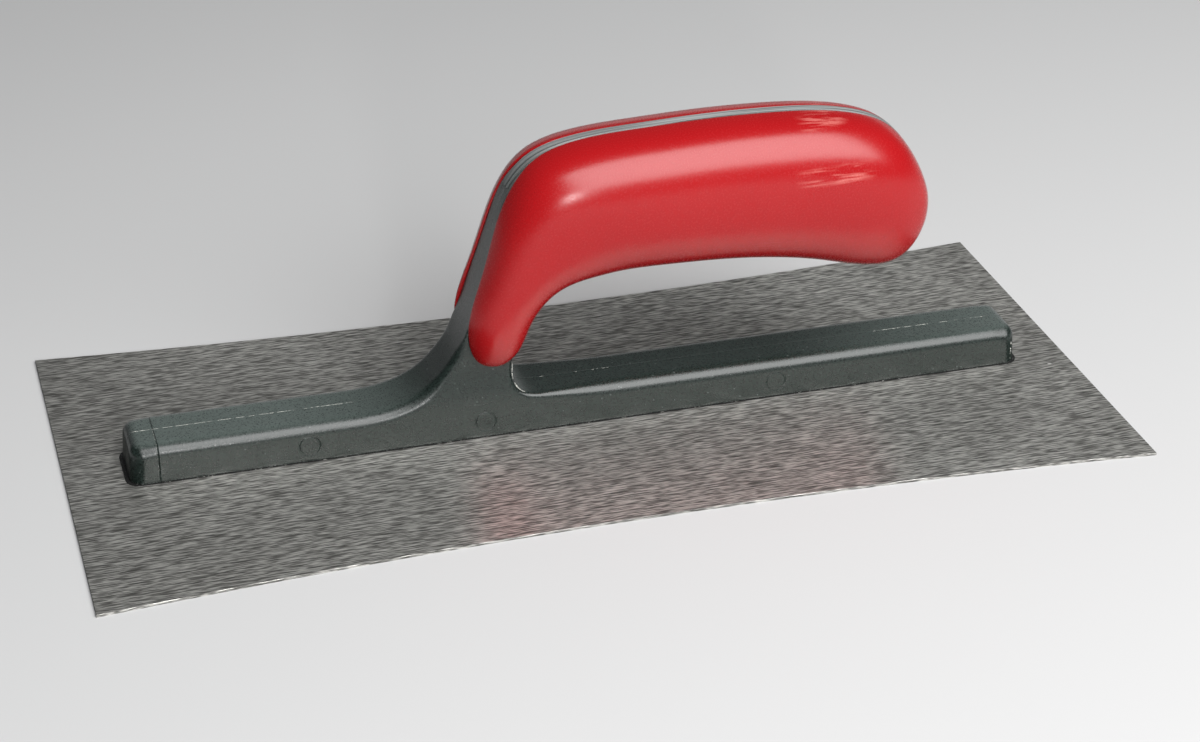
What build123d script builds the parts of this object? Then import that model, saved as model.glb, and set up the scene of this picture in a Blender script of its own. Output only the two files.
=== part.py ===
"""Steel finishing trowel: a thin spring-steel blade under a moulded mount with a two-half grip.

Millimetres, +Z up. +X runs along the blade towards the butt of the grip, +Y across it.
The origin is the middle of the blade's flat underside. Every sub-part is one STEP in parts/.
"""

import os

from build123d import *

# Blade: flat, square corners, long edges curving in towards the middle
BLADE_LENGTH = 280.0
BLADE_WIDTH = 130.0
BLADE_WAIST = 6.5
BLADE_THICK = 0.7

# Black sealing bead between the blade and the foot of the bar
SEAL_THICK = 0.25
SEAL_LIP = 0.8
BAR_FOOT = BLADE_THICK + SEAL_THICK

# Bar: the straight foot of the mount
BAR_LEFT = -124.0
BAR_RIGHT = 124.8
BAR_TOP = 11.5
BAR_HALF_FOOT = 9.6
BAR_HALF_TOP = 9.1
BAR_CORNER_R = 4.0
BAR_EDGE_R = 3.2

# Witness groove of the mould insert round the bar's left end, and ejector marks on its front
WITNESS_X = -116.2
WITNESS_WIDTH = 0.3
WITNESS_DEPTH = 0.15
EJECTOR_X = (-72.5, -27.0, 52.5)
EJECTOR_Z = 5.6
EJECTOR_R = 2.7
EJECTOR_DEPTH = 0.12

# Tang: (x, z) of its back and front edges, (z, y) of its half-width up its height,
# and (x, y) of its half-width along the bar, where it runs out into the bar's rounded edges.
# TANG_CHANNEL moves the tang outwards to clear the channel down the leg's back, where the
# grip halves stand proud of it.
TANG_BACK = [(-64.0, BAR_TOP), (-52.5, 13.0), (-44.0, 17.2), (-38.4, 23.2), (-33.3, 32.7), (-30.9, 40.4),
             (-27.6, 51.1), (-24.5, 61.6), (-21.2, 69.5), (-16.6, 74.9), (-9.0, 78.9), (6.0, 81.7)]
TANG_FRONT = [(-15.0, BAR_TOP), (-22.0, 18.5), (-20.6, 25.0), (-14.5, 37.0), (-4.0, 52.0), (6.0, 66.0)]
TANG_LOW = 8.0
TANG_HALF = [(TANG_LOW, 9.27), (12.0, 9.0), (19.0, 7.7), (30.0, 7.2), (40.0, 6.3), (52.0, 5.2), (64.0, 4.1), (75.0, 3.0),
             (81.7, 1.5)]
TANG_RUNOUT = [(-64.0, 5.9), (-52.0, 8.2), (-44.0, 9.6), (-19.0, 9.6), (-14.0, 7.0)]
TANG_CHANNEL = (-2.2, 0, 2.2)
WEB_HALF = 1.5

# Grip: each row is a section, as the (x, z) of its back or top, the (x, z) of its front or
# underside, and its half-width. The tip and the butt close its two round ends.
GRIP_TIP = (-27.2, 20.1)
GRIP_BUTT = (95.7, 51.9)
GRIP_SECTIONS = [
    ((-29.0, 20.7), (-25.2, 20.3), 5.0),
    ((-32.3, 22.7), (-22.2, 21.3), 9.5),
    ((-34.2, 26.6), (-19.0, 24.2), 11.8),
    ((-34.5, 32.4), (-17.0, 28.4), 13.2),
    ((-32.8, 39.4), (-14.9, 33.5), 14.0),
    ((-30.1, 46.8), (-11.6, 38.2), 14.6),
    ((-27.2, 55.8), (-6.1, 41.8), 15.2),
    ((-23.7, 65.8), (1.5, 43.2), 15.8),
    ((-16.1, 76.3), (9.0, 43.7), 16.4),
    ((-2.0, 81.1), (16.0, 43.8), 16.8),
    ((14.0, 82.3), (24.0, 43.6), 16.9),
    ((32.0, 82.9), (36.0, 43.1), 16.9),
    ((50.0, 82.7), (50.0, 41.7), 16.9),
    ((66.0, 81.4), (64.0, 39.0), 16.8),
    ((76.9, 78.8), (74.0, 36.3), 16.4),
    ((84.4, 74.7), (82.2, 35.2), 15.2),
    ((90.4, 67.5), (88.9, 37.7), 12.8),
    ((93.8, 60.4), (93.1, 44.1), 9.6),
    ((95.2, 56.0), (95.0, 47.9), 5.6),
    ((95.6, 53.2), (95.5, 50.6), 2.2),
]
GRIP_FULLNESS = 0.68

# Pegs moulded on the front grip half, through the web into sockets in the rear half
PEG_AT = [(16.0, 64.0), (44.0, 63.0), (72.0, 59.0)]
PEG_R = 3.0
PEG_REACH = 8.0
PEG_CLEARANCE = 0.1

# Countersunk rivets, flush with the underside, holding the blade to the bar
RIVET_COUNT = 8
RIVET_PITCH = 32.0
RIVET_HEAD_R = 3.6
RIVET_NECK_R = 2.9
RIVET_SHANK_R = 2.0
RIVET_TOP = 8.4
RIVET_X = [(i - (RIVET_COUNT - 1) / 2) * RIVET_PITCH for i in range(RIVET_COUNT)]


def on_side(x, z):
    """A point of the mid-plane from its place along the blade and its height."""
    return Vector(x, 0, z)


def make_blade():
    half = BLADE_LENGTH / 2
    width = BLADE_WIDTH / 2
    waist = width - BLADE_WAIST
    outline = Wire([
        ThreePointArc((-half, -width), (0, -waist), (half, -width)),
        Line((half, -width), (half, width)),
        ThreePointArc((half, width), (0, waist), (-half, width)),
        Line((-half, width), (-half, -width)),
    ])
    blade = extrude(Face(outline), BLADE_THICK, dir=(0, 0, 1))
    for x in RIVET_X:
        blade -= rivet_head(x)
    return blade


def foot_outline(half_width, lip, height):
    """Rounded rectangle round the bar, longer at each end by lip."""
    outline = RectangleRounded(BAR_RIGHT - BAR_LEFT + 2 * lip, 2 * half_width, BAR_CORNER_R)
    return Pos((BAR_LEFT + BAR_RIGHT) / 2, 0, height) * outline


def make_seal():
    seal = extrude(foot_outline(BAR_HALF_FOOT, SEAL_LIP, BLADE_THICK), SEAL_THICK)
    for x in RIVET_X:
        seal -= rivet_shank(x)
    return seal


def rivet_head(x):
    return Pos(x, 0, 0) * Solid.make_cone(RIVET_HEAD_R, RIVET_NECK_R, BLADE_THICK)


def rivet_shank(x):
    return Pos(x, 0, BLADE_THICK) * Solid.make_cylinder(RIVET_SHANK_R, RIVET_TOP - BLADE_THICK)


def make_rivet(x):
    return rivet_head(x) + rivet_shank(x)


def make_bar():
    """The foot bar: drafted sides, rounded top edges and ends."""
    draft = BAR_HALF_TOP - BAR_HALF_FOOT
    foot = foot_outline(BAR_HALF_FOOT, 0.0, BAR_FOOT)
    top = foot_outline(BAR_HALF_TOP, draft, BAR_TOP)
    bar = loft([foot, top])
    rim = bar.faces().sort_by(Axis.Z)[-1].edges()
    return fillet(rim, BAR_EDGE_R)


def witness_groove():
    """The thin frame to cut from the bar where the mould insert met the rest of the mould."""
    height = BAR_TOP - BAR_FOOT
    reach = 2 * BAR_HALF_FOOT
    middle = Pos(WITNESS_X, 0, BAR_FOOT)
    outer = middle * Box(WITNESS_WIDTH, 2 * reach, 2 * reach)
    kept = middle * Box(WITNESS_WIDTH, 2 * (BAR_HALF_TOP - BAR_EDGE_R), 2 * (height - WITNESS_DEPTH))
    sides = middle * Box(WITNESS_WIDTH, 2 * (BAR_HALF_TOP - WITNESS_DEPTH), 2 * (height - BAR_EDGE_R))
    return outer - kept - sides


def ejector_mark(x):
    plane = Plane(origin=(x, -BAR_HALF_FOOT - 1.0, EJECTOR_Z), z_dir=(0, 1, 0))
    drafted_face = (BAR_HALF_FOOT + BAR_HALF_TOP) / 2
    depth = BAR_HALF_FOOT + 1.0 - drafted_face + EJECTOR_DEPTH
    return plane * Solid.make_cylinder(EJECTOR_R, depth)


def mirrored_face(points, place):
    """A face from a curve of (along, half-width) points and its mirror image, closed by lines."""
    right = [place(along, half) for along, half in points]
    left = [place(along, -half) for along, half in points]
    return Face(Wire([
        Spline(*right),
        Line(right[-1], left[-1]),
        Spline(*reversed(left)),
        Line(left[0], right[0]),
    ]))


def make_tang():
    """The tang: its side outline, narrowed up its height and run out along the bar."""
    back = [on_side(x, z) for x, z in TANG_BACK]
    front = [on_side(x, z) for x, z in TANG_FRONT]
    low_left = on_side(TANG_BACK[0][0], TANG_LOW)
    low_right = on_side(TANG_FRONT[0][0], TANG_LOW)
    outline = Face(Wire([
        Line(low_right, low_left),
        Line(low_left, back[0]),
        Spline(*back),
        Line(back[-1], front[-1]),
        Spline(*reversed(front), tangents=[(-0.6, 0, -0.8), (1, 0, 0)]),
        Line(front[0], low_right),
    ]))
    reach = 2 * BAR_HALF_FOOT
    slab = extrude(outline, reach, dir=(0, 1, 0), both=True)
    taper = mirrored_face(TANG_HALF, lambda z, y: Vector(-100, y, z))
    runout = mirrored_face(TANG_RUNOUT, lambda x, y: Vector(x, y, 0))
    foot = extrude(runout, TANG_FRONT[1][1], dir=(0, 0, 1))
    above = Pos(0, 0, TANG_FRONT[1][1] + 50) * Box(200, reach * 2, 100)
    narrowed = slab & extrude(taper, 200, dir=(1, 0, 0))
    return (narrowed & foot) + (narrowed & above)


def grip_section(outer, inner, half_width):
    """A squarish oval between its outer and inner points, square to the grip's side plane."""
    top = on_side(*outer)
    bottom = on_side(*inner)
    middle = (top + bottom) * 0.5
    reach = (top - bottom) * 0.5
    across = Vector(0, half_width, 0)
    corners = [middle + reach, middle + across, middle - reach, middle - across]
    pulls = [across, -reach, -across, reach]
    edges = []
    for i in range(4):
        following = (i + 1) % 4
        leave = corners[i] + pulls[i] * GRIP_FULLNESS
        arrive = corners[following] - pulls[following] * GRIP_FULLNESS
        edges.append(Bezier(corners[i], leave, arrive, corners[following]))
    return Wire(edges)


def make_grip_form():
    """The whole outer form of the grip, before it is split round the mount."""
    sections = [grip_section(*row) for row in GRIP_SECTIONS]
    tip = Vertex(*on_side(*GRIP_TIP))
    butt = Vertex(*on_side(*GRIP_BUTT))
    return Solid.make_loft([tip, *sections, butt])


def peg(x, z, radius, start, end):
    """A round bar across the grip, from y = start to y = end."""
    plane = Plane(origin=(x, start, z), z_dir=(0, 1, 0))
    return plane * Solid.make_cylinder(radius, end - start)


def make_mount(form):
    """Bar, tang and the grip's web in one moulding, with blind holes for the rivets."""
    web_slab = Pos(30, 0, 50) * Box(200, 2 * WEB_HALF, 120)
    web = form & web_slab
    for x, z in PEG_AT:
        web -= peg(x, z, PEG_R + PEG_CLEARANCE, -WEB_HALF, WEB_HALF)
    tang = make_tang()
    web -= Pos(TANG_CHANNEL) * tang
    mount = make_bar() + tang + web
    mount -= witness_groove()
    for x in EJECTOR_X:
        mount -= ejector_mark(x)
    for x in RIVET_X:
        mount -= rivet_shank(x)
    return mount


def make_grip_half(form, side):
    """One half of the grip, outside the mount: side is -1 for the front, 1 for the rear."""
    half = form & (Pos(30, side * 25, 50) * Box(200, 50, 120))
    tang = make_tang()
    half -= tang
    half -= Pos(TANG_CHANNEL) * tang
    half -= Pos(30, 0, 50) * Box(200, 2 * WEB_HALF, 120)
    return half.solids().sort_by(SortBy.VOLUME)[-1]


def make_grip_front(form):
    half = make_grip_half(form, -1)
    for x, z in PEG_AT:
        half += peg(x, z, PEG_R, -WEB_HALF - 1.0, PEG_REACH)
    return half


def make_grip_rear(form):
    half = make_grip_half(form, 1)
    for x, z in PEG_AT:
        half -= peg(x, z, PEG_R + PEG_CLEARANCE, WEB_HALF, PEG_REACH + PEG_CLEARANCE)
    return half


def save(shape, name):
    shape.label = name
    export_step(shape, f"parts/{name}.step")


def main():
    os.makedirs("parts", exist_ok=True)
    form = make_grip_form()
    save(make_blade(), "blade")
    save(make_seal(), "seal")
    save(make_mount(form), "mount")
    save(make_grip_front(form), "grip_front")
    save(make_grip_rear(form), "grip_rear")
    for i, x in enumerate(RIVET_X, start=1):
        save(make_rivet(x), f"blade_rivet_{i}")


if __name__ == "__main__":
    main()
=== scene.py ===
"""Looks for the steel finishing trowel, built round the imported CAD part.

Shapes are worked out in millimetres in the part's own frame and stored in metres. The mount
comes from an implicit surface, and the grip halves and its web from sections along the grip.
"""

import math

import bmesh
import bpy
import numpy as np
from mathutils import Matrix, Vector

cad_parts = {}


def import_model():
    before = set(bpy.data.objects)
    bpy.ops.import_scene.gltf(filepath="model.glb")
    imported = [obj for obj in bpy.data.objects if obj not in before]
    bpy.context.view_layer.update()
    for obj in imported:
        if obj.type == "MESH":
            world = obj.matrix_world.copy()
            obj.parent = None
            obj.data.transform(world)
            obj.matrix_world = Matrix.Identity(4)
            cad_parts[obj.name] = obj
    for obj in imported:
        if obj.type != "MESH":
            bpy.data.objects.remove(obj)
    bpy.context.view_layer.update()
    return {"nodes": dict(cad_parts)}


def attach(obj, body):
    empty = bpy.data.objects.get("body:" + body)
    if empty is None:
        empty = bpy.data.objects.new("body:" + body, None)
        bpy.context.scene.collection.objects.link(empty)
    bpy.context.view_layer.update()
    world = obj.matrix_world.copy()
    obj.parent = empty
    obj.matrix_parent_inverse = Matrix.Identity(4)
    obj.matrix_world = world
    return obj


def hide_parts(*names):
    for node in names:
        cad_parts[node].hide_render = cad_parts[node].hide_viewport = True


# Shapes are in millimetres. The stage, and every length inside a material, is in metres.
MM = 0.001

# Blade
BLADE_LENGTH = 280.0
BLADE_WIDTH = 130.0
BLADE_WAIST = 6.5
BLADE_THICK = 0.7
BLADE_EDGE = 0.04
RIVET_X = [(i - 3.5) * 32.0 for i in range(8)]
RIVET_HEAD_R = 3.6
RIVET_NECK_R = 2.9
RIVET_GAP = 0.04
BAR_FOOT = 0.95

# Bar and tang of the mount
BAR_LEFT = -124.0
BAR_RIGHT = 124.8
BAR_TOP = 11.5
BAR_END_DRAFT = 0.5
BAR_CORNER_R = 4.0
EDGE_R_BAR = 3.3
EDGE_R_NECK = 1.9
EDGE_R_INSIDE = 0.4
EDGE_R_ARCH = 0.9
FOOT_EDGE_R = 0.15
NECK_HEIGHTS = (12.0, 21.0)
INSIDE_HEIGHTS = (25.0, 31.0)
ARCH_LEFT = -26.0
ARCH_SPAN = (-22.0, 8.0)
BAR_END_ZONE = (8.0, 3.0)
OUTLINE_BOTTOM = -6.0
TANG_BACK = [(-64.0, 11.5), (-52.5, 13.0), (-44.0, 17.2), (-38.4, 23.2), (-33.3, 32.7), (-30.9, 40.4),
             (-27.6, 51.1), (-24.5, 61.6), (-21.2, 69.5), (-16.6, 74.9), (-9.0, 78.9), (6.0, 81.7)]
TANG_FRONT = [(6.0, 66.0), (-4.0, 52.0), (-14.5, 37.0), (-20.6, 25.0), (-22.0, 18.5), (-20.4, 13.6),
              (-17.4, 11.9), (-13.0, 11.5)]
HALF_WIDTH = [(0.0, 9.645), (BAR_FOOT, 9.6), (8.0, 9.27), (12.0, 8.95), (19.0, 7.9), (30.0, 7.2),
              (40.0, 6.3), (52.0, 5.2), (64.0, 4.1), (75.0, 3.0), (81.7, 1.5), (90.0, 1.4)]

# Marks the mould left on the mount
WITNESS_X = -116.2
WITNESS_DEPTH = 0.16
WITNESS_WIDE = 0.13
WITNESS_STEP = 0.04
EJECTOR_X = (-77.0, -29.5, 52.5)
EJECTOR_Z = 5.6
EJECTOR_R = 2.7
EJECTOR_DEPTH = 0.13
EJECTOR_WIDE = 0.16
RIDGE_HIGH = 0.1
RIDGE_WIDE = 0.14
FLASH_PATH_POINTS = 400
FLASH_SIDES = 6
FLASH_FLATNESS = 0.7

# Grip
GRIP_TIP = (-27.2, 20.1)
GRIP_BUTT = (95.7, 51.9)
GRIP_FULLNESS = 0.68
GRIP_TOP = 82.93
GRIP_STATIONS = 150
GRIP_SECTIONS = [
    ((-29.0, 20.7), (-25.2, 20.3), 5.0),
    ((-32.3, 22.7), (-22.2, 21.3), 9.5),
    ((-34.2, 26.6), (-19.0, 24.2), 11.8),
    ((-34.5, 32.4), (-17.0, 28.4), 13.2),
    ((-32.8, 39.4), (-14.9, 33.5), 14.0),
    ((-30.1, 46.8), (-11.6, 38.2), 14.6),
    ((-27.2, 55.8), (-6.1, 41.8), 15.2),
    ((-23.7, 65.8), (1.5, 43.2), 15.8),
    ((-16.1, 76.3), (9.0, 43.7), 16.4),
    ((-2.0, 81.1), (16.0, 43.8), 16.8),
    ((14.0, 82.3), (24.0, 43.6), 16.9),
    ((32.0, 82.9), (36.0, 43.1), 16.9),
    ((50.0, 82.7), (50.0, 41.7), 16.9),
    ((66.0, 81.4), (64.0, 39.0), 16.8),
    ((76.9, 78.8), (74.0, 36.3), 16.4),
    ((84.4, 74.7), (82.2, 35.2), 15.2),
    ((90.4, 67.5), (88.9, 37.7), 12.8),
    ((93.8, 60.4), (93.1, 44.1), 9.6),
    ((95.2, 56.0), (95.0, 47.9), 5.6),
    ((95.6, 53.2), (95.5, 50.6), 2.2),
]
WEB_HALF = 1.5
SEAM_GAP = 0.05
SEAM_R = 0.45

# Colours, linear
STEEL_LIGHT = (0.74, 0.73, 0.69)
STEEL_DARK = (0.105, 0.103, 0.095)
STEEL_SPECK = (1.0, 1.0, 0.97)
RIVET_DARK = (0.30, 0.29, 0.28)
RIVET_LIGHT = (0.62, 0.61, 0.6)
# Near-black of the seal bead: painted contact shade along the bar's foot and at its ends
SEAL_PAINTED_SHADE = (0.006, 0.006, 0.006)
SEAL_DUST = (0.2, 0.2, 0.19)
PLASTIC_DARK = (0.002, 0.005, 0.004)
PLASTIC_LIGHT = (0.012, 0.022, 0.018)
PLASTIC_CLOUD = (0.007, 0.014, 0.011)
PLASTIC_SPECKLE = (0.09, 0.105, 0.10)
# Pale colour on upward faces: partly dust, partly painted light that lightens the tops, least under
# the grip where they keep a painted shade
PLASTIC_DUST_AND_LIGHT = (0.13, 0.158, 0.147)
PLASTIC_WORN = (0.30, 0.32, 0.31)
# Pale colours of the sanding lines on the stripe; their lightness is partly a painted highlight on
# the stripe's top
SANDED_HIGHLIGHT_DARK = (0.13, 0.14, 0.137)
SANDED_HIGHLIGHT_LIGHT = (0.42, 0.43, 0.43)
FLASH_DARK = (0.18, 0.19, 0.18)
FLASH_LIGHT = (0.66, 0.66, 0.60)
GRIP_RED_DEEP = (0.32, 0.003, 0.005)
GRIP_RED_BRIGHT = (0.37, 0.005, 0.007)
GRIP_RUBBED = (0.7, 0.2, 0.18)
GRIP_SCUFFED = (0.8, 0.3, 0.26)
FLOOR_GREY = (0.58, 0.58, 0.58, 1.0)
SKY_COLOUR = (0.95, 0.98, 1.0, 1.0)

# Places in materials, in metres
# Heights over which the stripe turns from plain plastic to the pale sanding colour: partly a painted
# highlight, lighter towards the top
SANDED_HIGHLIGHT_FROM = 0.062
SANDED_HIGHLIGHT_FULL = 0.0835
# Middle and reach of the painted grip shade on the mount's tops: tops are lightened less near this x,
# under the grip, and fully far from it
GRIP_SHADE_MIDDLE = 0.02
DUST_AND_LIGHT_REACH = (0.035, 0.105)
SCUFFS = [(0.064, 0.069, 0.012, 0.0032), (0.063, 0.0808, 0.008, 0.0014)]


# ---------------------------------------------------------------- mesh helpers

def mesh_object(name, points, faces, smooth=True):
    """A mesh in the scene from points in millimetres, none above the grip's top."""
    mesh = bpy.data.meshes.new(name)
    points = np.minimum(points, (math.inf, math.inf, GRIP_TOP))
    mesh.from_pydata((points * MM).tolist(), [], [list(f) for f in faces])
    mesh.validate()
    mesh.update()
    if smooth:
        mesh.polygons.foreach_set("use_smooth", [True] * len(mesh.polygons))
    piece = bpy.data.objects.new(name, mesh)
    bpy.context.scene.collection.objects.link(piece)
    return piece


def face_outwards(piece):
    """Turns every face of a closed mesh outwards."""
    work = bmesh.new()
    work.from_mesh(piece.data)
    bmesh.ops.recalc_face_normals(work, faces=work.faces)
    work.to_mesh(piece.data)
    work.free()


def shade_sharp(piece, degrees):
    """Smooth shading with edges sharper than this left hard."""
    work = bmesh.new()
    work.from_mesh(piece.data)
    for edge in work.edges:
        turned = len(edge.link_faces) == 2 and edge.calc_face_angle(0.0) > math.radians(degrees)
        edge.smooth = not turned
    work.to_mesh(piece.data)
    work.free()


def tube_faces(rings, across):
    """Quads between neighbouring rings of across points each."""
    faces = []
    for i in range(rings - 1):
        near = i * across
        far = near + across
        for j in range(across):
            k = (j + 1) % across
            faces.append((near + j, near + k, far + k, far + j))
    return faces


def closed_tube(rings):
    """Faces of a tube through rings of equal length, with a face over each end."""
    across = len(rings[0])
    faces = tube_faces(len(rings), across)
    faces.append(list(range(across)))
    last = (len(rings) - 1) * across
    faces.append(list(range(last, last + across)))
    return faces


def natural_spline(knots, values, at):
    """The natural cubic spline through rows of values at the knots, taken at each of at."""
    values = np.asarray(values, float)
    gaps = np.diff(knots)
    count = len(knots)
    system = np.eye(count)
    right = np.zeros_like(values)
    slopes = np.diff(values, axis=0) / gaps[:, None]
    for i in range(1, count - 1):
        system[i, i - 1:i + 2] = gaps[i - 1], 2 * (gaps[i - 1] + gaps[i]), gaps[i]
        right[i] = 6 * (slopes[i] - slopes[i - 1])
    bends = np.linalg.solve(system, right)
    i = np.clip(np.searchsorted(knots, at) - 1, 0, count - 2)
    h = gaps[i][:, None]
    ahead = (np.asarray(at) - knots[i])[:, None]
    left = h - ahead
    curve = (bends[i] * left ** 3 + bends[i + 1] * ahead ** 3) / (6 * h)
    curve += (values[i] / h - bends[i] * h / 6) * left
    curve += (values[i + 1] / h - bends[i + 1] * h / 6) * ahead
    return curve


def smooth_path(points, count):
    """A smooth path through points, as count points."""
    points = np.asarray(points, float)
    steps = np.linalg.norm(np.diff(points, axis=0), axis=1)
    knots = np.concatenate([[0.0], np.cumsum(steps)])
    return natural_spline(knots, points, np.linspace(0, knots[-1], count))


def smoothstep(low, high, value):
    """0 at low to 1 at high with a soft start and end; low may be the larger."""
    t = np.clip((value - low) / (high - low), 0, 1)
    return t * t * (3 - 2 * t)


# ---------------------------------------------------------------- the mount's surface

def side_outline():
    """The mount's outline from the side, open through its foot, as (x, z) points."""
    left = BAR_LEFT + BAR_END_DRAFT
    right = BAR_RIGHT - BAR_END_DRAFT
    radius = EDGE_R_BAR
    centre_z = BAR_TOP - radius
    left_arc = []
    right_arc = []
    for t in np.linspace(0, math.pi / 2, 9):
        left_arc.append((left + radius - radius * math.cos(t), centre_z + radius * math.sin(t)))
        right_arc.append((right - radius + radius * math.sin(t), centre_z + radius * math.cos(t)))
    back = smooth_path([(-70.0, BAR_TOP)] + TANG_BACK, 90)
    front = smooth_path(TANG_FRONT + [(-9.0, BAR_TOP)], 60)
    low_left = (BAR_LEFT - BAR_END_DRAFT / 2, OUTLINE_BOTTOM)
    low_right = (BAR_RIGHT + BAR_END_DRAFT / 2, OUTLINE_BOTTOM)
    return np.vstack([[low_left], left_arc, back, front, right_arc, [low_right]])


OUTLINE = side_outline()
WIDTHS = smooth_path(HALF_WIDTH, 120)


def outline_distance(x, z):
    """Distance from the side outline, negative inside it."""
    x, z = np.broadcast_arrays(x, z)
    nearest = np.full(x.shape, 1e9)
    inside = np.zeros(x.shape, bool)
    following = np.roll(OUTLINE, -1, axis=0)
    for (ax, az), (bx, bz) in zip(OUTLINE, following):
        dx, dz = bx - ax, bz - az
        along = ((x - ax) * dx + (z - az) * dz) / (dx * dx + dz * dz)
        along = np.clip(along, 0, 1)
        away = (x - ax - along * dx) ** 2 + (z - az - along * dz) ** 2
        np.minimum(nearest, away, out=nearest)
        if az != bz:
            crosses = (az > z) != (bz > z)
            inside ^= crosses & (x < ax + (z - az) / (bz - az) * dx)
    return np.where(inside, -1, 1) * np.sqrt(nearest)


def edge_radius(x, z):
    """Radius of the mount's long edges: full on the bar, small where the tang leaves it."""
    by_height = EDGE_R_BAR + (EDGE_R_NECK - EDGE_R_BAR) * smoothstep(*NECK_HEIGHTS, z)
    by_height = by_height + (EDGE_R_INSIDE - EDGE_R_NECK) * smoothstep(*INSIDE_HEIGHTS, z)
    right_of_tang = EDGE_R_ARCH + (EDGE_R_BAR - EDGE_R_ARCH) * smoothstep(*ARCH_SPAN, x)
    full = np.where(x > ARCH_LEFT, np.minimum(by_height, right_of_tang), by_height)
    near_end = np.minimum(x - BAR_LEFT, BAR_RIGHT - x)
    return full + (BAR_CORNER_R - EDGE_R_BAR) * smoothstep(*BAR_END_ZONE, near_end)


def rounded_and(first, second, radius):
    """The field where both are inside, with its edge rounded."""
    a = first + radius
    b = second + radius
    return np.minimum(np.maximum(a, b), 0) + np.hypot(np.maximum(a, 0), np.maximum(b, 0)) - radius


def mark_depth(x, y, z):
    """Depth of the moulding marks: the insert's line, the ejector rings and the parting ridge."""
    depth = WITNESS_DEPTH * np.exp(-((x - WITNESS_X) / WITNESS_WIDE) ** 2)
    depth = depth + WITNESS_STEP * smoothstep(WITNESS_X + 0.1, WITNESS_X - 0.1, x)
    for centre in EJECTOR_X:
        ring = np.hypot(x - centre, z - EJECTOR_Z) - EJECTOR_R
        depth = depth + np.where(y < 0, EJECTOR_DEPTH, 0.0) * np.exp(-(ring / EJECTOR_WIDE) ** 2)
    uneven = 0.6 + 0.25 * np.sin(x * 1.7) + 0.15 * np.sin(x * 4.1 + 1.0)
    ridge = RIDGE_HIGH * uneven * np.exp(-(y / RIDGE_WIDE) ** 2)
    return depth - ridge * smoothstep(13.0, 12.0, z)


def mount_field(x, y, z):
    """Negative inside the mount."""
    side = outline_distance(x, z)
    across = np.abs(y) - np.interp(z, WIDTHS[:, 0], WIDTHS[:, 1])
    solid = rounded_and(side, across, edge_radius(x, z)) + mark_depth(x, y, z)
    return rounded_and(solid, BAR_FOOT - z, FOOT_EDGE_R)


def spaced(low, high, coarse, fine_zones):
    """Grid lines from low to high, closer together in each (start, end, step) zone."""
    lines = []
    at = low
    while at < high:
        lines.append(at)
        steps = [step for start, end, step in fine_zones if start <= at + 1e-6 < end]
        step = min(steps, default=coarse)
        for start, _, _ in fine_zones:
            if at + 1e-6 < start < at + step:
                step = start - at
        at += step
    lines.append(high)
    return np.array(lines)


def surface_net(xs, ys, zs, values):
    """Points and quads of the surface where the grid's values change sign."""
    inside = values < 0
    axes = (xs, ys, zs)
    cells = tuple(n - 1 for n in inside.shape)
    total = np.zeros(cells + (3,))
    hits = np.zeros(cells)
    corners = np.zeros(cells, int)
    for i, j, k in np.ndindex(2, 2, 2):
        corners += inside[i:i + cells[0], j:j + cells[1], k:k + cells[2]]
    active = (corners > 0) & (corners < 8)
    grid = np.stack(np.meshgrid(xs, ys, zs, indexing="ij"), axis=-1)
    for axis in range(3):
        low = [slice(None)] * 3
        high = [slice(None)] * 3
        low[axis] = slice(0, -1)
        high[axis] = slice(1, None)
        low, high = tuple(low), tuple(high)
        crossing = inside[low] != inside[high]
        gap = values[low] - values[high]
        share = np.where(crossing, values[low] / np.where(gap == 0, 1, gap), 0)
        points = grid[low] + share[..., None] * (grid[high] - grid[low])
        others = [a for a in range(3) if a != axis]
        for i, j in np.ndindex(2, 2):
            part = [slice(None)] * 3
            part[others[0]] = slice(i, i + cells[others[0]])
            part[others[1]] = slice(j, j + cells[others[1]])
            part = tuple(part)
            total += points[part] * crossing[part][..., None]
            hits += crossing[part]
    index = np.full(cells, -1)
    index[active] = np.arange(active.sum())
    vertices = total[active] / hits[active][:, None]
    return vertices, net_faces(inside, index, axes)


def net_faces(inside, index, axes):
    """One quad round each grid edge that crosses the surface."""
    faces = []
    for axis in range(3):
        one, two = [a for a in range(3) if a != axis]
        inner = [slice(1, -1)] * 3
        inner[axis] = slice(0, -1)
        ahead = list(inner)
        ahead[axis] = slice(1, None)
        crossing = inside[tuple(inner)] != inside[tuple(ahead)]
        at = np.argwhere(crossing)
        base = at.copy()
        base[:, one] += 1
        base[:, two] += 1
        ring = []
        for a, b in ((-1, -1), (0, -1), (0, 0), (-1, 0)):
            cell = base.copy()
            cell[:, one] += a
            cell[:, two] += b
            ring.append(index[cell[:, 0], cell[:, 1], cell[:, 2]])
        faces.append(np.stack(ring, axis=1))
    return np.vstack(faces)


def settle(points, field, rounds=4):
    """Moves points on to the surface where field is zero."""
    step = 0.01
    for _ in range(rounds):
        x, y, z = points.T
        here = field(x, y, z)
        slope = np.stack([
            field(x + step, y, z) - field(x - step, y, z),
            field(x, y + step, z) - field(x, y - step, z),
            field(x, y, z + step) - field(x, y, z - step),
        ], axis=1) / (2 * step)
        size = np.maximum((slope ** 2).sum(axis=1), 0.05)
        move = -(here / size)[:, None] * slope
        points = points + np.clip(move, -0.4, 0.4)
    return points


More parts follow.
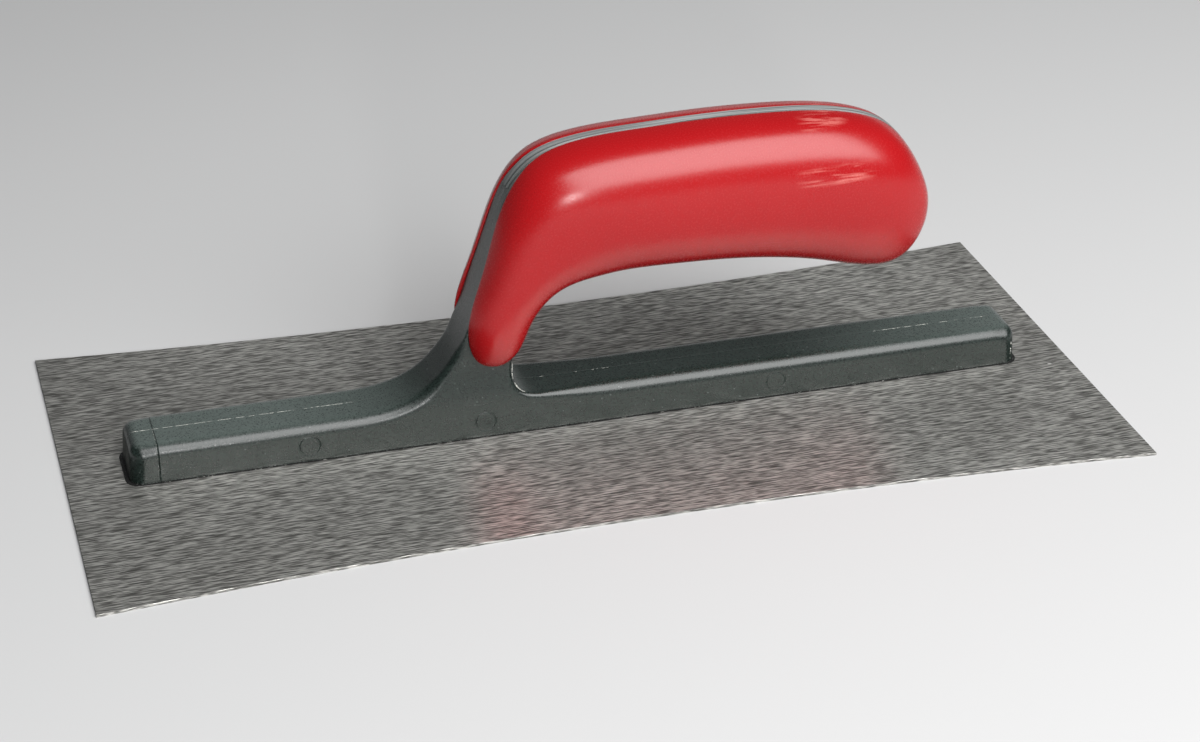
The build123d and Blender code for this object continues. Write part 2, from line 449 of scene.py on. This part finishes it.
def make_mount():
    """Bar and tang as one moulding."""
    rings = [(x - 3.0, x + 3.0, 0.14) for x in EJECTOR_X]
    zones = [(BAR_LEFT - 1, -118.0, 0.5), (WITNESS_X - 0.4, WITNESS_X + 0.4, 0.08),
             (118.0, BAR_RIGHT + 1, 0.5), (-66.0, 8.0, 0.6)]
    xs = spaced(BAR_LEFT - 1, BAR_RIGHT + 1, 1.2, zones + rings)
    ys = spaced(-10.4, 10.4, 0.55, [(-0.42, 0.42, 0.12)])
    zs = spaced(0.4, 84.0, 0.6, [(EJECTOR_Z - 3.0, EJECTOR_Z + 3.0, 0.16)])
    values = mount_field(xs[:, None, None], ys[None, :, None], zs[None, None, :])
    points, faces = surface_net(xs, ys, zs, values)
    points = settle(points, mount_field)
    piece = mesh_object("mount_moulding", points, faces)
    face_outwards(piece)
    shade_sharp(piece, 50)
    return piece


def chips(name, path, count, length, thick, seed):
    """Small torn bits of flash along a path, as flattened spindles of uneven size."""
    draw = np.random.default_rng(seed)
    path = smooth_path(path, FLASH_PATH_POINTS)
    end = FLASH_PATH_POINTS - 1
    points = []
    faces = []
    sides = FLASH_SIDES
    turn = np.linspace(0, 2 * math.pi, sides, endpoint=False)
    for place in np.sort(draw.uniform(0.01, 0.99, count)):
        here = int(place * end)
        at = path[here]
        way = path[min(here + 2, end)] - path[max(here - 2, 0)]
        way /= np.linalg.norm(way)
        aside = np.cross(way, draw.normal(size=3))
        aside /= np.linalg.norm(aside)
        third = np.cross(way, aside)
        reach = length * draw.uniform(0.3, 1.0)
        wide = thick * draw.uniform(0.5, 1.0)
        start = len(points)
        points.append(at - way * reach)
        for share, swell in ((-0.5, 0.8), (0.1, 1.0), (0.6, 0.6)):
            for t in turn:
                bump = wide * swell * draw.uniform(0.75, 1.1)
                around = aside * math.cos(t) + third * FLASH_FLATNESS * math.sin(t)
                points.append(at + way * reach * share + around * bump)
        points.append(at + way * reach)
        last = len(points) - 1
        for j in range(sides):
            k = (j + 1) % sides
            faces.append((start, start + 1 + k, start + 1 + j))
            for ring in (1, 1 + sides):
                a = start + ring
                faces.append((a + j, a + k, a + sides + k, a + sides + j))
            faces.append((last, last - sides + j, last - sides + k))
    piece = mesh_object(name, points, faces)
    face_outwards(piece)
    return piece


def make_flash():
    """Every line of moulding flash that shows: parting line, tang edge, end corner and foot."""
    top = BAR_TOP + 0.02
    neck = [(-21.6, 22.5), (-21.9, 18.6), (-21.0, 15.0), (-19.3, 12.8),
            (-17.3, 11.6), (-15.0, 11.0), (-11.0, 10.6)]
    near_neck = [(x, -8.05, z) for x, z in neck]
    far_neck = [(x, 8.05, z) for x, z in neck]
    corner = [(122.9, -8.6, z) for z in (1.6, 3.4, 5.5, 8.0)]
    foot = [(x, -9.66, BAR_FOOT + 0.05) for x in (-118.0, -60.0, 0.0, 60.0, 118.0)]
    left_line = [(-121.5, 0.0, top), (-100.0, 0.0, top), (-60.0, 0.0, top)]
    right_line = [(84.0, 0.0, top), (100.0, 0.0, top), (119.0, 0.0, top)]
    middle_line = [(-12.0, 0.0, top), (-2.0, 0.0, top), (9.0, 0.0, top)]
    witness_path = [(-9.42, 2.0), (-9.3, 7.0), (-8.5, 10.4), (-6.0, 11.48), (0.0, 11.5)]
    witness = [(WITNESS_X - 0.2, y, z) for y, z in witness_path]
    return [
        chips("flash_neck_near", near_neck, 19, 1.2, 0.27, 3),
        chips("flash_neck_far", far_neck, 22, 0.7, 0.16, 4),
        chips("flash_end_corner", corner, 9, 0.55, 0.34, 5),
        chips("flash_foot", foot, 34, 0.7, 0.055, 6),
        chips("flash_top_left", left_line, 92, 1.5, 0.11, 7),
        chips("flash_top_right", right_line, 44, 1.3, 0.11, 8),
        chips("flash_top_middle", middle_line, 14, 0.9, 0.10, 9),
        chips("flash_witness", witness, 22, 0.4, 0.07, 10),
    ]


# ---------------------------------------------------------------- the grip

def grip_rows(count):
    """Outer and inner points, half-width and place along the grip, at count stations."""
    rows = [(*GRIP_TIP, *GRIP_TIP, 0.0)]
    rows += [(*outer, *inner, half) for outer, inner, half in GRIP_SECTIONS]
    rows += [(*GRIP_BUTT, *GRIP_BUTT, 0.0)]
    rows = np.array(rows)
    steps = np.linalg.norm(np.diff(rows, axis=0), axis=1)
    knots = np.concatenate([[0.0], np.cumsum(steps)])
    turn = np.linspace(0, math.pi, count)
    even = np.linspace(0, 1, count)
    share = 0.45 * (1 - np.cos(turn)) / 2 + 0.55 * even
    return natural_spline(knots, rows, share * knots[-1])


def quarter(t):
    """The section's corner as (reach, width) in shares, from its top at t = 0 to its side."""
    full = GRIP_FULLNESS
    reach = (1 - t) ** 3 + 3 * (1 - t) ** 2 * t + 3 * (1 - t) * t ** 2 * full
    width = 3 * (1 - t) ** 2 * t * full + 3 * (1 - t) * t ** 2 + t ** 3
    return reach, width


def section_curve(reach, half, samples=161):
    """Dense points of a half section, (depth, width) in mm, from outer to inner."""
    t = np.linspace(0, 1, samples)
    share, width = quarter(t)
    first = np.stack([share * reach, width * half], axis=1)
    second = np.stack([-share[::-1] * reach, width[::-1] * half], axis=1)
    return np.vstack([first, second[1:]])


def inward_normals(curve):
    """Unit normals of a half section's curve, towards its middle."""
    slope = np.gradient(curve, axis=0)
    normal = np.stack([-slope[:, 1], slope[:, 0]], axis=1)
    normal /= np.linalg.norm(normal, axis=1)[:, None]
    return np.where((normal * curve).sum(axis=1)[:, None] > 0, -normal, normal)


def seam_round(centre, start, end, radius, steps=5):
    """Points of a rounded seam edge round centre, from direction start to direction end."""
    shares = np.linspace(0, 1, steps)[:, None]
    ways = start * (1 - shares) + end * shares
    ways /= np.linalg.norm(ways, axis=1)[:, None]
    return centre + ways * radius


def half_section(row, back_wall, front_wall, step_at, points_across=44):
    """Closed section of a grip half as (depth, width): surface, rounded seams and inner walls."""
    reach = math.hypot(row[0] - row[2], row[1] - row[3]) / 2
    half = row[4]
    radius = min(SEAM_R, 0.4 * (half - back_wall), 0.4 * reach)
    curve = section_curve(reach, half)
    normals = inward_normals(curve)
    centres = curve + normals * radius
    peak = int(np.argmax(centres[:, 1]))
    places = np.arange(len(curve), dtype=float)
    start = np.interp(back_wall + radius, centres[:peak + 1, 1], places[:peak + 1])
    end = np.interp(-(front_wall + radius), -centres[peak:, 1], places[peak:])
    along = np.linspace(start, end, points_across)
    surface = np.stack([np.interp(along, places, curve[:, i]) for i in range(2)], axis=1)
    first = np.array([np.interp(start, places, centres[:, i]) for i in range(2)])
    last = np.array([np.interp(end, places, centres[:, i]) for i in range(2)])
    to_wall = np.array([0.0, -1.0])
    rise = seam_round(first, to_wall, (surface[0] - first) / radius, radius)[:-1]
    fall = seam_round(last, (surface[-1] - last) / radius, to_wall, radius)[1:]
    low = np.clip(step_at, last[0] + 0.02, first[0] - 0.02)
    walls = [(low, front_wall), (low, back_wall)]
    return np.vstack([rise, surface, fall, walls])


def place_section(row, section, side):
    """Section points in space: depth along the section, width across the grip."""
    outer = np.array([row[0], row[1]])
    inner = np.array([row[2], row[3]])
    middle = (outer + inner) / 2
    way = (outer - inner) / max(np.linalg.norm(outer - inner), 1e-9)
    flat = middle + section[:, :1] * way
    return np.stack([flat[:, 0], side * section[:, 1], flat[:, 1]], axis=1)


def tang_step(row):
    """Depth along a section at which it leaves the tang, for the wall inside the halves."""
    outer = np.array([row[0], row[1]])
    inner = np.array([row[2], row[3]])
    shares = np.linspace(0, 1, 60)
    line = outer + shares[:, None] * (inner - outer)
    inside = outline_distance(line[:, 0], line[:, 1]) < 0
    last = shares[inside].max() if inside.any() else 0.0
    return (1 - 2 * last) * np.linalg.norm(outer - inner) / 2


def make_grip_half(name, side, rows):
    """One half of the grip, round the tang and against the web."""
    rings = []
    for row in rows:
        tang_half = float(np.interp(row[1], WIDTHS[:, 0], WIDTHS[:, 1]))
        tang_half = max(tang_half, WEB_HALF) if row[0] < 8.0 else WEB_HALF
        back_wall = tang_half + SEAM_GAP
        bare = float(smoothstep(26.0, 22.5, row[3]))
        inner_half = float(np.interp(row[3], WIDTHS[:, 0], WIDTHS[:, 1]))
        front_wall = WEB_HALF + SEAM_GAP + (inner_half - WEB_HALF) * bare
        if row[4] < max(back_wall, front_wall) + 0.35:
            continue
        section = half_section(row, back_wall, front_wall, tang_step(row))
        rings.append(place_section(row, section, side))
    piece = mesh_object(name, np.vstack(rings), closed_tube(rings))
    face_outwards(piece)
    shade_sharp(piece, 55)
    return piece


def make_web(rows):
    """The mount's web where it shows as a stripe between the halves."""
    rings = []
    spread = np.linspace(-1, 1, 7)
    for row in rows:
        inner_only = row[1] < 76.0 and row[0] < 0 and row[4] < 16.0
        reach = math.hypot(row[0] - row[2], row[1] - row[3]) / 2
        half = row[4]
        if reach < 0.2 or row[3] < 23.5:
            continue
        width = min(WEB_HALF, 0.9 * half)
        curve = section_curve(reach, half)
        middle = len(curve) // 2
        across = np.abs(spread) * width
        depth = np.interp(across, curve[:middle + 1, 1], curve[:middle + 1, 0])
        top = np.stack([depth, spread * width], axis=1)
        if inner_only:
            top[:, 0] = np.minimum(top[:, 0] - 4.0, tang_step(row) + 3.0)
        bottom = np.stack([-depth[::-1], spread[::-1] * width], axis=1)
        rings.append(place_section(row, np.vstack([top, bottom]), 1))
    piece = mesh_object("mount_web", np.vstack(rings), closed_tube(rings))
    face_outwards(piece)
    shade_sharp(piece, 50)
    return piece


# ---------------------------------------------------------------- the blade

def blade_rim():
    """Rings of points round the blade from underside to top, their faces and the points in a ring."""
    half = BLADE_LENGTH / 2
    xs = np.linspace(-half, half, 141)
    bow = BLADE_WAIST / half ** 2
    edge = BLADE_WIDTH / 2 - BLADE_WAIST + bow * xs ** 2
    near = np.stack([xs, -edge], axis=1)
    far = np.stack([xs[::-1], edge[::-1]], axis=1)
    ends = np.linspace(-BLADE_WIDTH / 2, BLADE_WIDTH / 2, 41)[1:-1]
    right = np.stack([np.full(len(ends), half), ends], axis=1)
    left = np.stack([np.full(len(ends), -half), ends[::-1]], axis=1)
    outline = np.vstack([near, right, far, left])
    count = len(outline)
    levels = [(BLADE_EDGE, 0.0), (0.0, BLADE_EDGE),
              (0.0, BLADE_THICK - BLADE_EDGE), (BLADE_EDGE, BLADE_THICK)]
    points = []
    for inset, height in levels:
        shrink = np.array([1 - inset / half, 1 - 2 * inset / BLADE_WIDTH])
        ring = outline * shrink
        points.append(np.column_stack([ring, np.full(count, height)]))
    return np.vstack(points), tube_faces(len(levels), count), count


def pierced_faces(rings):
    """Triangles filling the first ring around the others, as indices into all their points."""
    work = bmesh.new()
    edges = []
    for ring in rings:
        made = [work.verts.new(p) for p in ring]
        edges += [work.edges.new((made[i - 1], made[i])) for i in range(len(made))]
    work.verts.index_update()
    filled = bmesh.ops.triangle_fill(work, edges=edges, use_beauty=True)["geom"]
    faces = [[v.index for v in item.verts] for item in filled if isinstance(item, bmesh.types.BMFace)]
    work.free()
    return faces


def blade_piece():
    """The sheet, with a countersunk hole through it for each rivet head."""
    points, faces, count = blade_rim()
    sides = 48
    turn = np.linspace(0, 2 * math.pi, sides, endpoint=False)
    circle = np.column_stack([np.cos(turn), np.sin(turn), np.zeros(sides)])
    bottom_rings = [points[:count]]
    top_rings = [points[3 * count:]]
    bottom_places = list(range(count))
    top_places = list(range(3 * count, 4 * count))
    total = len(points)
    blocks = [points]
    for x in RIVET_X:
        wide = circle * (RIVET_HEAD_R + RIVET_GAP) + (x, 0, 0)
        narrow = circle * (RIVET_NECK_R + RIVET_GAP) + (x, 0, BLADE_THICK)
        bottom_rings.append(wide)
        top_rings.append(narrow)
        blocks += [wide, narrow]
        bottom_places += range(total, total + sides)
        top_places += range(total + sides, total + 2 * sides)
        faces += [[total + corner for corner in face] for face in tube_faces(2, sides)]
        total += 2 * sides
    for rings, places in ((bottom_rings, bottom_places), (top_rings, top_places)):
        faces += [[places[i] for i in face] for face in pierced_faces(rings)]
    points = np.vstack(blocks)
    piece = mesh_object("blade_sheet", points, faces)
    face_outwards(piece)
    shade_sharp(piece, 25)
    layer = piece.data.uv_layers.new(name="along")
    for loop in piece.data.loops:
        at = piece.data.vertices[loop.vertex_index].co
        layer.data[loop.index].uv = (at.x, at.y)
    return piece


# ---------------------------------------------------------------- materials

class Shader:
    """A node material written top to bottom."""

    def __init__(self, name):
        self.material = bpy.data.materials.new(name)
        self.material.use_nodes = True
        self.tree = self.material.node_tree
        self.tree.nodes.clear()
        self.output = self.node("ShaderNodeOutputMaterial")
        self.principled = self.node("ShaderNodeBsdfPrincipled")
        self.link(self.principled.outputs[0], self.output.inputs["Surface"])
        self.place = self.node("ShaderNodeTexCoord").outputs["Object"]

    def node(self, kind, **settings):
        made = self.tree.nodes.new(kind)
        for key, value in settings.items():
            setattr(made, key, value)
        return made

    def link(self, source, target):
        self.tree.links.new(source, target)

    def feed(self, socket, value):
        """Links a node's output to the socket, or sets a constant on it."""
        if hasattr(value, "is_output"):
            self.link(value, socket)
        else:
            socket.default_value = value

    def set(self, **values):
        for key, value in values.items():
            self.feed(self.principled.inputs[key.replace("_", " ")], value)

    def stretched(self, scale):
        mapping = self.node("ShaderNodeMapping")
        mapping.inputs["Scale"].default_value = scale
        self.link(self.place, mapping.inputs["Vector"])
        return mapping.outputs[0]

    def noise(self, scale, detail=2.0, roughness=0.5, stretch=(1, 1, 1)):
        texture = self.node("ShaderNodeTexNoise")
        self.link(self.stretched(stretch), texture.inputs["Vector"])
        texture.inputs["Scale"].default_value = scale
        texture.inputs["Detail"].default_value = detail
        texture.inputs["Roughness"].default_value = roughness
        return texture.outputs["Fac"]

    def speckle(self, scale, stretch=(1, 1, 1)):
        texture = self.node("ShaderNodeTexVoronoi")
        self.link(self.stretched(stretch), texture.inputs["Vector"])
        texture.inputs["Scale"].default_value = scale
        return texture.outputs["Distance"]

    def ramp(self, value, low, high, start=0.0, end=1.0):
        """start at low to end at high; low may be the larger."""
        ranged = self.node("ShaderNodeMapRange", clamp=True)
        self.link(value, ranged.inputs["Value"])
        ranged.inputs["From Min"].default_value = low
        ranged.inputs["From Max"].default_value = high
        ranged.inputs["To Min"].default_value = start
        ranged.inputs["To Max"].default_value = end
        return ranged.outputs[0]

    def math(self, operation, first, second=0.0):
        made = self.node("ShaderNodeMath", operation=operation)
        for socket, value in zip(made.inputs, (first, second)):
            self.feed(socket, value)
        return made.outputs[0]

    def times(self, first, second):
        return self.math("MULTIPLY", first, second)

    def off(self, value, middle):
        """How far value is from middle, either way."""
        return self.math("ABSOLUTE", self.math("SUBTRACT", value, middle))

    def mix(self, share, first, second):
        made = self.node("ShaderNodeMix", data_type="RGBA")
        self.link(share, made.inputs["Factor"])
        for socket, colour in ((made.inputs["A"], first), (made.inputs["B"], second)):
            self.feed(socket, colour if hasattr(colour, "is_output") else (*colour, 1.0))
        return made.outputs["Result"]

    def axis(self, name):
        split = self.node("ShaderNodeSeparateXYZ")
        self.link(self.place, split.inputs[0])
        return split.outputs[name]

    def edges(self):
        """Pointiness: above a half on outer edges."""
        return self.node("ShaderNodeNewGeometry").outputs["Pointiness"]

    def bump(self, height, distance, strength):
        made = self.node("ShaderNodeBump")
        made.inputs["Strength"].default_value = strength
        made.inputs["Distance"].default_value = distance
        self.link(height, made.inputs["Height"])
        return made.outputs[0]


def steel_material():
    """Lengthwise ground spring steel: short bright and dark strokes and fine grooves."""
    shader = Shader("blade_steel_ground")
    light = STEEL_LIGHT
    dark = STEEL_DARK
    strokes = shader.noise(4000, 1.0, 0.5, (0.06, 1.0, 1.0))
    fine = shader.noise(2600, 0.0, 0.5, (0.055, 1.0, 1.0))
    cloud = shader.noise(26, 3.0, 0.6, (0.5, 1.0, 1.0))
    glint = shader.ramp(shader.speckle(1050, (0.2, 1.0, 1.0)), 0.36, 0.16)
    scored = shader.ramp(shader.speckle(1250, (0.17, 1.0, 1.0)), 0.36, 0.16)
    both = shader.math("ADD", shader.times(strokes, 0.65), shader.times(fine, 0.35))
    middle = tuple((a + b) * 0.38 for a, b in zip(light, dark))
    colour = shader.mix(shader.ramp(both, 0.38, 0.49), dark, middle)
    colour = shader.mix(shader.ramp(both, 0.51, 0.59), colour, light)
    colour = shader.mix(shader.times(scored, 0.6), colour, dark)
    colour = shader.mix(shader.times(glint, 0.6), colour, light)
    worn = shader.mix(shader.ramp(cloud, 0.35, 0.7, 0.0, 0.25), colour, tuple(c * 0.6 for c in dark))
    specks = shader.ramp(shader.speckle(95, (0.45, 1.0, 1.0)), 0.035, 0.02)
    sparse = shader.ramp(shader.noise(31, 1.0, 0.5), 0.52, 0.56)
    bright = shader.times(specks, sparse)
    marked = shader.mix(shader.times(bright, 0.8), worn, STEEL_SPECK)
    tangent = shader.node("ShaderNodeTangent", direction_type="UV_MAP", uv_map="along")
    shader.link(tangent.outputs[0], shader.principled.inputs["Tangent"])
    shader.set(Base_Color=marked, Metallic=1.0, Roughness=shader.ramp(both, 0.35, 0.65, 0.39, 0.34))
    shader.set(Anisotropic=0.85, Anisotropic_Rotation=0.25)
    shader.set(Normal=shader.bump(both, 0.00006, 0.4))
    return shader.material


def rivet_material():
    shader = Shader("rivet_steel_ground")
    strokes = shader.noise(2600, 2.0, 0.6, (0.13, 1.0, 1.0))
    shader.set(Base_Color=shader.mix(shader.ramp(strokes, 0.35, 0.65), RIVET_DARK, RIVET_LIGHT))
    shader.set(Metallic=1.0, Roughness=shader.ramp(strokes, 0.35, 0.65, 0.28, 0.42))
    shader.set(Normal=shader.bump(strokes, 0.00004, 0.5))
    return shader.material


# Near-black bead along the bar's foot: painted contact shade under the foot and at the bar's ends,
# with a few dust specks
def seal_painted_shade_material():
    shader = Shader("seal_bead_painted_shade")
    lumps = shader.noise(900, 3.0, 0.6)
    dust = shader.ramp(shader.noise(1500, 2.0, 0.6), 0.66, 0.72)
    shader.set(Base_Color=shader.mix(dust, SEAL_PAINTED_SHADE, SEAL_DUST))
    shader.set(Roughness=shader.ramp(lumps, 0.3, 0.7, 0.5, 0.75))
    shader.set(Normal=shader.bump(lumps, 0.0001, 0.6))
    return shader.material


def plastic_grain(shader):
    """The mount's moulded plastic: dark grey-green with a pale mineral speckle."""
    grain = shader.noise(2300, 2.0, 0.7)
    cloud = shader.noise(60, 3.0, 0.6)
    base = shader.mix(shader.ramp(grain, 0.40, 0.62), PLASTIC_DARK, PLASTIC_LIGHT)
    base = shader.mix(shader.ramp(cloud, 0.3, 0.75, 0.0, 0.3), base, PLASTIC_CLOUD)
    dots = shader.ramp(shader.speckle(620), 0.18, 0.08)
    chosen = shader.ramp(shader.noise(410, 1.0, 0.5), 0.5, 0.62)
    speckled = shader.mix(shader.times(dots, chosen), base, PLASTIC_SPECKLE)
    return speckled, grain


def sanded_stripe_with_highlight(shader):
    """Where sanding left the plastic flush with the grip: fine lengthwise lines in a pale colour that
    is partly a painted highlight, and how high up, paler towards the top.
    """
    lines = shader.noise(2400, 1.0, 0.6, (0.012, 1.0, 0.012))
    sanding_and_highlight = shader.mix(shader.ramp(lines, 0.38, 0.62), SANDED_HIGHLIGHT_DARK, SANDED_HIGHLIGHT_LIGHT)
    # Painted highlight: the stripe turns paler the higher up it is
    height = shader.ramp(shader.axis("Z"), SANDED_HIGHLIGHT_FROM, SANDED_HIGHLIGHT_FULL)
    return sanding_and_highlight, height, lines


def mount_material():
    """Speckled plastic, satin, with worn pale edges. Tops are lighter away from the grip: partly
    dust, partly painted light, with painted grip shade in the middle. The stripe's pale top is partly
    a painted highlight.
    """
    shader = Shader("mount_plastic_speckled")
    base, grain = plastic_grain(shader)
    facing = shader.node("ShaderNodeSeparateXYZ")
    shader.link(shader.node("ShaderNodeNewGeometry").outputs["Normal"], facing.inputs[0])
    # Upward faces painted lighter away from the grip: partly dust, partly painted light, with painted
    # shade under the grip
    outer = shader.ramp(shader.off(shader.axis("X"), GRIP_SHADE_MIDDLE), *DUST_AND_LIGHT_REACH, 0.1, 1.0)
    upwards = shader.ramp(facing.outputs["Z"], 0.75, 1.0, 0.0, 0.7)
    dust_and_lit_tops = shader.times(shader.times(upwards, outer), shader.ramp(grain, 0.3, 0.6, 0.55, 1.0))
    base = shader.mix(dust_and_lit_tops, base, PLASTIC_DUST_AND_LIGHT)
    pale = shader.times(shader.ramp(shader.edges(), 0.53, 0.58), shader.ramp(grain, 0.5, 0.62))
    base = shader.mix(shader.times(pale, 0.6), base, PLASTIC_WORN)
    sanding_and_highlight, height, _ = sanded_stripe_with_highlight(shader)
    # The stripe's top gets the pale sanding colour, partly a painted highlight
    base = shader.mix(height, base, sanding_and_highlight)
    shader.set(Base_Color=base, Roughness=shader.ramp(grain, 0.3, 0.7, 0.24, 0.38))
    shader.set(Specular_IOR_Level=0.65)
    shader.set(Normal=shader.bump(grain, 0.00006, 0.4))
    return shader.material


def web_material():
    """The web: sanding lines flush with the grip on top, their paleness partly a painted highlight;
    plain plastic lower down.
    """
    shader = Shader("mount_plastic_sanding_highlight")
    plain, grain = plastic_grain(shader)
    sanding_and_highlight, height, lines = sanded_stripe_with_highlight(shader)
    # The web's top gets the pale sanding colour, partly a painted highlight
    shader.set(Base_Color=shader.mix(height, plain, sanding_and_highlight), Roughness=0.48)
    shader.set(Normal=shader.bump(lines, 0.00006, 0.5))
    return shader.material


def flash_material():
    """Torn moulding flash: pale grey, rough."""
    shader = Shader("mount_plastic_flash")
    grain = shader.noise(2600, 2.0, 0.6)
    shader.set(Base_Color=shader.mix(shader.ramp(grain, 0.35, 0.65), FLASH_DARK, FLASH_LIGHT))
    shader.set(Roughness=0.5, Normal=shader.bump(grain, 0.00005, 0.4))
    return shader.material


def grip_material():
    """Glossy signal red with a faint orange peel, fine scratches and a few rubbed patches."""
    shader = Shader("grip_plastic_red")
    peel = shader.noise(1800, 2.0, 0.6)
    cloud = shader.noise(18, 2.0, 0.5)
    scratch = shader.noise(900, 2.0, 0.7, (0.06, 1.0, 1.0))
    rubbed = shader.times(shader.ramp(scratch, 0.58, 0.75), shader.ramp(cloud, 0.52, 0.70))
    base = shader.mix(cloud, GRIP_RED_DEEP, GRIP_RED_BRIGHT)
    base = shader.mix(shader.times(rubbed, 0.12), base, GRIP_RUBBED)
    scuffed = shader.ramp(scratch, 0.46, 0.60)
    for middle_x, middle_z, reach_x, reach_z in SCUFFS:
        off_x = shader.off(shader.axis("X"), middle_x)
        off_z = shader.off(shader.axis("Z"), middle_z)
        within_x = shader.ramp(off_x, reach_x, reach_x * 0.5)
        within_z = shader.ramp(off_z, reach_z, reach_z * 0.5)
        share = shader.times(shader.times(shader.times(within_x, within_z), scuffed), 0.35)
        base = shader.mix(share, base, GRIP_SCUFFED)
    gloss = shader.math("ADD", shader.ramp(peel, 0.3, 0.7, 0.22, 0.30), shader.times(rubbed, 0.1))
    shader.set(Base_Color=base, Roughness=gloss, Specular_IOR_Level=0.5)
    shader.set(Normal=shader.bump(peel, 0.000012, 0.5))
    return shader.material


def floor_material():
    shader = Shader("floor_pale")
    shader.set(Base_Color=FLOOR_GREY, Roughness=0.9, Specular_IOR_Level=0.0)
    return shader.material


# ---------------------------------------------------------------- stage

CAMERA_TARGET = Vector((10.615, 18.243, 0.0)) * MM
CAMERA_AZIMUTH = math.radians(-17.228)
CAMERA_ELEVATION = math.radians(29.271)
CAMERA_ROLL = math.radians(0.859)
CAMERA_DISTANCE = 742.389 * MM
CAMERA_LENS = 79.74
SENSOR_WIDTH = 36.0
WORLD_STRENGTH = 0.12
FLOOR_REACH = 3000.0
FLOOR_DROP = 0.02
# Name, place, target, size and power of each softbox, in metres and watts.
LIGHTS = [
    ("key", (0.32, -0.66, 0.80), (0.03, 0.0, 0.04), (1.1, 1.0), 21.5),
    ("spark", (-0.085, -0.87, 0.285), (-0.01, 0.0, 0.06), (0.08, 0.08), 1.6),
    ("back", (0.35, 1.35, 0.22), (0.05, 0.0, 0.05), (2.6, 0.36), 1.4),
]


def make_camera():
    across = math.cos(CAMERA_ELEVATION)
    back = Vector((math.sin(CAMERA_AZIMUTH) * across,
                   -math.cos(CAMERA_AZIMUTH) * across,
                   math.sin(CAMERA_ELEVATION)))
    right = Vector((math.cos(CAMERA_AZIMUTH), math.sin(CAMERA_AZIMUTH), 0.0))
    up = back.cross(right)
    rolled_right = math.cos(CAMERA_ROLL) * right + math.sin(CAMERA_ROLL) * up
    rolled_up = math.cos(CAMERA_ROLL) * up - math.sin(CAMERA_ROLL) * right
    data = bpy.data.cameras.new("camera")
    data.lens = CAMERA_LENS
    data.sensor_width = SENSOR_WIDTH
    data.clip_start = 0.01
    data.clip_end = 20.0
    camera = bpy.data.objects.new("camera", data)
    turn = Matrix((rolled_right, rolled_up, back)).transposed()
    camera.matrix_world = Matrix.Translation(CAMERA_TARGET + back * CAMERA_DISTANCE) @ turn.to_4x4()
    bpy.context.scene.collection.objects.link(camera)
    bpy.context.scene.camera = camera


def make_light(name, place, target, size, power):
    """A rectangular softbox at place, facing target."""
    data = bpy.data.lights.new(name, "AREA")
    data.shape = "RECTANGLE"
    data.size = size[0]
    data.size_y = size[1]
    data.energy = power
    light = bpy.data.objects.new(name, data)
    away = Vector(place) - Vector(target)
    light.matrix_world = Matrix.Translation(place) @ away.to_track_quat("Z", "Y").to_matrix().to_4x4()
    bpy.context.scene.collection.objects.link(light)


def make_floor():
    corners = [(-1, -1), (1, -1), (1, 1), (-1, 1)]
    points = [(x * FLOOR_REACH, y * FLOOR_REACH, -FLOOR_DROP) for x, y in corners]
    floor = mesh_object("floor", points, [(0, 1, 2, 3)], smooth=False)
    floor.data.materials.append(floor_material())


def make_world():
    world = bpy.data.worlds.new("studio")
    world.use_nodes = True
    background = world.node_tree.nodes["Background"]
    background.inputs["Color"].default_value = SKY_COLOUR
    background.inputs["Strength"].default_value = WORLD_STRENGTH
    bpy.context.scene.world = world


def make_stage():
    make_floor()
    make_world()
    for light in LIGHTS:
        make_light(*light)
    make_camera()
    bpy.context.scene.view_settings.view_transform = "Standard"


# ---------------------------------------------------------------- the object

def dress(piece, material):
    """Gives a piece this material and no other."""
    piece.data.materials.clear()
    piece.data.materials.append(material)


def finish_piece(piece, material, nodes):
    """Dresses a piece built here, and puts it on the body in place of the CAD nodes named."""
    dress(piece, material)
    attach(piece, "root")
    if nodes:
        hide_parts(*nodes)


def main():
    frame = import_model()
    nodes = frame["nodes"]
    rows = grip_rows(GRIP_STATIONS)
    grip_red = grip_material()
    finish_piece(make_mount(), mount_material(), ["mount"])
    finish_piece(make_web(rows), web_material(), [])
    torn = flash_material()
    for piece in make_flash():
        finish_piece(piece, torn, [])
    finish_piece(make_grip_half("grip_half_front", -1, rows), grip_red, ["grip_front"])
    finish_piece(make_grip_half("grip_half_rear", 1, rows), grip_red, ["grip_rear"])
    finish_piece(blade_piece(), steel_material(), ["blade"])
    rivet_steel = rivet_material()
    for name, node in nodes.items():
        if name.startswith("blade_rivet_"):
            dress(node, rivet_steel)
    # The seal node is dressed in near-black: painted contact shade along the foot
    dress(nodes["seal"], seal_painted_shade_material())
    make_stage()


main()
